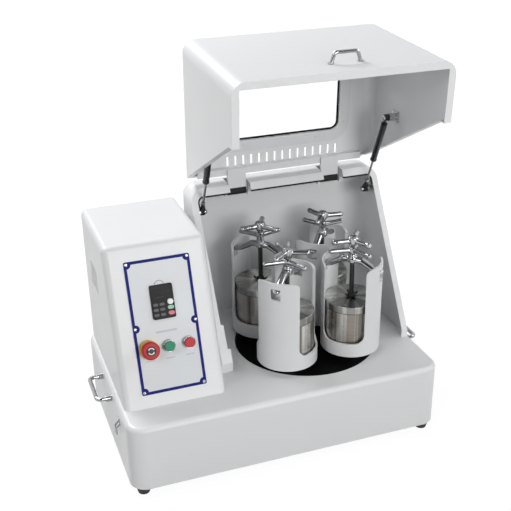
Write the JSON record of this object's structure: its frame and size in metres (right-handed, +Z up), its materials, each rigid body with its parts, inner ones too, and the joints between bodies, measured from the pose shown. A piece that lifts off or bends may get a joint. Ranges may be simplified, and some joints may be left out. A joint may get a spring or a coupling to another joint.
{
  "type": "planetary ball mill",
  "caption": "Bench planetary ball mill with an open windowed hood, jars clamped in spinning holders on a turntable, and a leaning control panel.",
  "frame": {"origin": "centre of the base's footprint on the table", "axes": "+X to the right seen from the front, -Y to the front, +Z up"},
  "size_m": [0.826, 0.47, 0.9232],
  "materials": {
    "shell_white": "satin powder coat",
    "bottom_zinc": "zinc plated",
    "foot_rubber": "matte",
    "bright_chrome": "polished",
    "panel_face": "printed satin",
    "panel_navy": "printed satin",
    "screw_steel": "satin",
    "knob_white": "satin",
    "keypad_grey": "fine texture",
    "display_dark": "gloss",
    "key_green": "gloss",
    "key_red": "gloss",
    "stop_red": "gloss",
    "go_green": "gloss",
    "collar_yellow": "gloss",
    "switch_black": "matte",
    "seal_rubber": "matte",
    "window_clear": "clear",
    "retainer_grey": "satin powder coat",
    "strut_black": "satin",
    "turntable_black": "satin",
    "holder_white": "satin powder coat",
    "jar_steel": "turned",
    "lid_steel": "turned",
    "clamp_black": "black oxide",
    "gear_steel": "machined",
    "cast_grey": "as cast",
    "belt_rubber": "matte",
    "motor_alloy": "die cast"
  },
  "bodies": {
    "frame": {"base_shell": "shell_white", "base_bottom_plate": "bottom_zinc", "base_feet": "foot_rubber", "carry_handles": "bright_chrome", "side_hook": "bright_chrome", "control_box_shell": "shell_white", "control_panel_plate": "panel_face", "panel_screws": "screw_steel", "keypad": "keypad_grey", "control_collars": "collar_yellow", "inverter_drive": "switch_black", "chamber_shell": "shell_white", "chamber_seal": "seal_rubber", "interlock_bracket": "shell_white", "hinge_pins": "screw_steel", "chamber_studs": "screw_steel", "motor": "motor_alloy", "main_bearing_unit": "cast_grey", "sun_gear": "gear_steel", "drive_belt": "belt_rubber"},
    "hood": {"hood_shell": "shell_white", "hood_window": "window_clear", "window_seal": "seal_rubber", "window_retainer": "retainer_grey", "hood_handle": "bright_chrome", "hinge_arms": "shell_white", "hood_studs": "screw_steel"},
    "strut_rod_pair": {"strut_rods": "bright_chrome"},
    "strut_tube_pair": {"strut_tubes": "strut_black"},
    "rotor": {"turntable": "turntable_black", "main_shaft": "gear_steel"},
    "motor_rotor": {"motor_pulley": "cast_grey"},
    "estop": {"estop_head": "stop_red"},
    "start": {"start_button": "go_green"},
    "stop": {"stop_button": "stop_red"},
    "knob": {"speed_knob": "knob_white"},
    "station_1": {"planet_gear_1": "gear_steel", "jar_holder_1": "holder_white", "jar_1": "jar_steel", "jar_lid_1": "lid_steel"},
    "clamp_bar_1": {"crossbar_1": "bright_chrome"},
    "clamp_turn_1": {"clamp_screw_1": "bright_chrome"},
    "station_2": {"planet_gear_2": "gear_steel", "jar_holder_2": "holder_white", "jar_2": "jar_steel", "jar_lid_2": "lid_steel"},
    "clamp_bar_2": {"crossbar_2": "bright_chrome"},
    "clamp_turn_2": {"clamp_screw_2": "bright_chrome"},
    "station_3": {"planet_gear_3": "gear_steel", "jar_holder_3": "holder_white", "jar_3": "jar_steel", "jar_lid_3": "lid_steel"},
    "clamp_bar_3": {"crossbar_3": "bright_chrome"},
    "clamp_turn_3": {"clamp_screw_3": "bright_chrome"},
    "station_4": {"planet_gear_4": "gear_steel", "jar_holder_4": "holder_white", "jar_4": "jar_steel", "jar_lid_4": "lid_steel"},
    "clamp_bar_4": {"crossbar_4": "bright_chrome"},
    "clamp_turn_4": {"clamp_screw_4": "bright_chrome"}
  },
  "joints": [
    {"name": "hood_swing", "type": "hinge", "parent": "frame", "child": "hood", "pos_m": [0, 0.15994, 0.534], "axis": [1, 0, 0], "range_deg": [0, 87]},
    {"name": "strut_turn", "type": "hinge", "parent": "frame", "child": "strut_rod_pair", "pos_m": [0, 0.128, 0.503], "axis": [1, 0, 0], "range_deg": [0, 96]},
    {"name": "strut_slide", "type": "slide", "parent": "strut_rod_pair", "child": "strut_tube_pair", "axis": [0, -0.4193, 0.9078], "range_m": [-0.055, 0]},
    {"name": "turntable_spin", "type": "hinge", "parent": "frame", "child": "rotor", "pos_m": [0.124, 0, 0.17], "axis": [0, 0, 1], "continuous": true},
    {"name": "motor_spin", "type": "hinge", "parent": "frame", "child": "motor_rotor", "pos_m": [-0.249, 0.095, 0.064], "axis": [0, 0, 1], "continuous": true},
    {"name": "estop_press", "type": "slide", "parent": "frame", "child": "estop", "axis": [0, 0.9397, -0.342], "range_m": [0, 0.006], "stiffness_N_per_m": 1200, "springref_m": -0.002},
    {"name": "start_press", "type": "slide", "parent": "frame", "child": "start", "axis": [0, 0.9397, -0.342], "range_m": [0, 0.004], "stiffness_N_per_m": 500, "springref_m": -0.002},
    {"name": "stop_press", "type": "slide", "parent": "frame", "child": "stop", "axis": [0, 0.9397, -0.342], "range_m": [0, 0.004], "stiffness_N_per_m": 500, "springref_m": -0.002},
    {"name": "speed_turn", "type": "hinge", "parent": "frame", "child": "knob", "pos_m": [-0.233, -0.08126, 0.39359], "axis": [0, -0.9397, 0.342], "range_deg": [-135, 135]},
    {"name": "holder_spin_1", "type": "hinge", "parent": "rotor", "child": "station_1", "pos_m": [0.03899, 0.08039, 0.19], "axis": [0, 0, 1], "continuous": true},
    {"name": "clamp_turn_1", "type": "hinge", "parent": "station_1", "child": "clamp_turn_1", "pos_m": [0.03899, 0.08039, 0.4], "axis": [0, 0, 1], "range_deg": [0, 960]},
    {"name": "clamp_climb_1", "type": "slide", "parent": "station_1", "child": "clamp_bar_1", "axis": [0, 0, 1], "range_m": [-0.008, 0]},
    {"name": "holder_spin_2", "type": "hinge", "parent": "rotor", "child": "station_2", "pos_m": [0.04361, -0.08501, 0.19], "axis": [0, 0, 1], "continuous": true},
    {"name": "clamp_turn_2", "type": "hinge", "parent": "station_2", "child": "clamp_turn_2", "pos_m": [0.04361, -0.08501, 0.4], "axis": [0, 0, 1], "range_deg": [0, 960]},
    {"name": "clamp_climb_2", "type": "slide", "parent": "station_2", "child": "clamp_bar_2", "axis": [0, 0, 1], "range_m": [-0.008, 0]},
    {"name": "holder_spin_3", "type": "hinge", "parent": "rotor", "child": "station_3", "pos_m": [0.20901, -0.08039, 0.19], "axis": [0, 0, 1], "continuous": true},
    {"name": "clamp_turn_3", "type": "hinge", "parent": "station_3", "child": "clamp_turn_3", "pos_m": [0.20901, -0.08039, 0.4], "axis": [0, 0, 1], "range_deg": [0, 960]},
    {"name": "clamp_climb_3", "type": "slide", "parent": "station_3", "child": "clamp_bar_3", "axis": [0, 0, 1], "range_m": [-0.008, 0]},
    {"name": "holder_spin_4", "type": "hinge", "parent": "rotor", "child": "station_4", "pos_m": [0.20439, 0.08501, 0.19], "axis": [0, 0, 1], "continuous": true},
    {"name": "clamp_turn_4", "type": "hinge", "parent": "station_4", "child": "clamp_turn_4", "pos_m": [0.20439, 0.08501, 0.4], "axis": [0, 0, 1], "range_deg": [0, 960]},
    {"name": "clamp_climb_4", "type": "slide", "parent": "station_4", "child": "clamp_bar_4", "axis": [0, 0, 1], "range_m": [-0.008, 0]}
  ],
  "couplings": [
    {"joint": "strut_turn", "follows": "hood_swing", "ratio": 1.0935},
    {"joint": "strut_slide", "follows": "hood_swing", "m_per_rad": -0.035651},
    {"joint": "motor_spin", "follows": "turntable_spin", "ratio": 2.75},
    {"joint": "holder_spin_1", "follows": "turntable_spin", "ratio": 1},
    {"joint": "clamp_climb_1", "follows": "clamp_turn_1", "m_per_rad": -0.00047746},
    {"joint": "holder_spin_2", "follows": "turntable_spin", "ratio": 1},
    {"joint": "clamp_climb_2", "follows": "clamp_turn_2", "m_per_rad": -0.00047746},
    {"joint": "holder_spin_3", "follows": "turntable_spin", "ratio": 1},
    {"joint": "clamp_climb_3", "follows": "clamp_turn_3", "m_per_rad": -0.00047746},
    {"joint": "holder_spin_4", "follows": "turntable_spin", "ratio": 1},
    {"joint": "clamp_climb_4", "follows": "clamp_turn_4", "m_per_rad": -0.00047746}
  ]
}
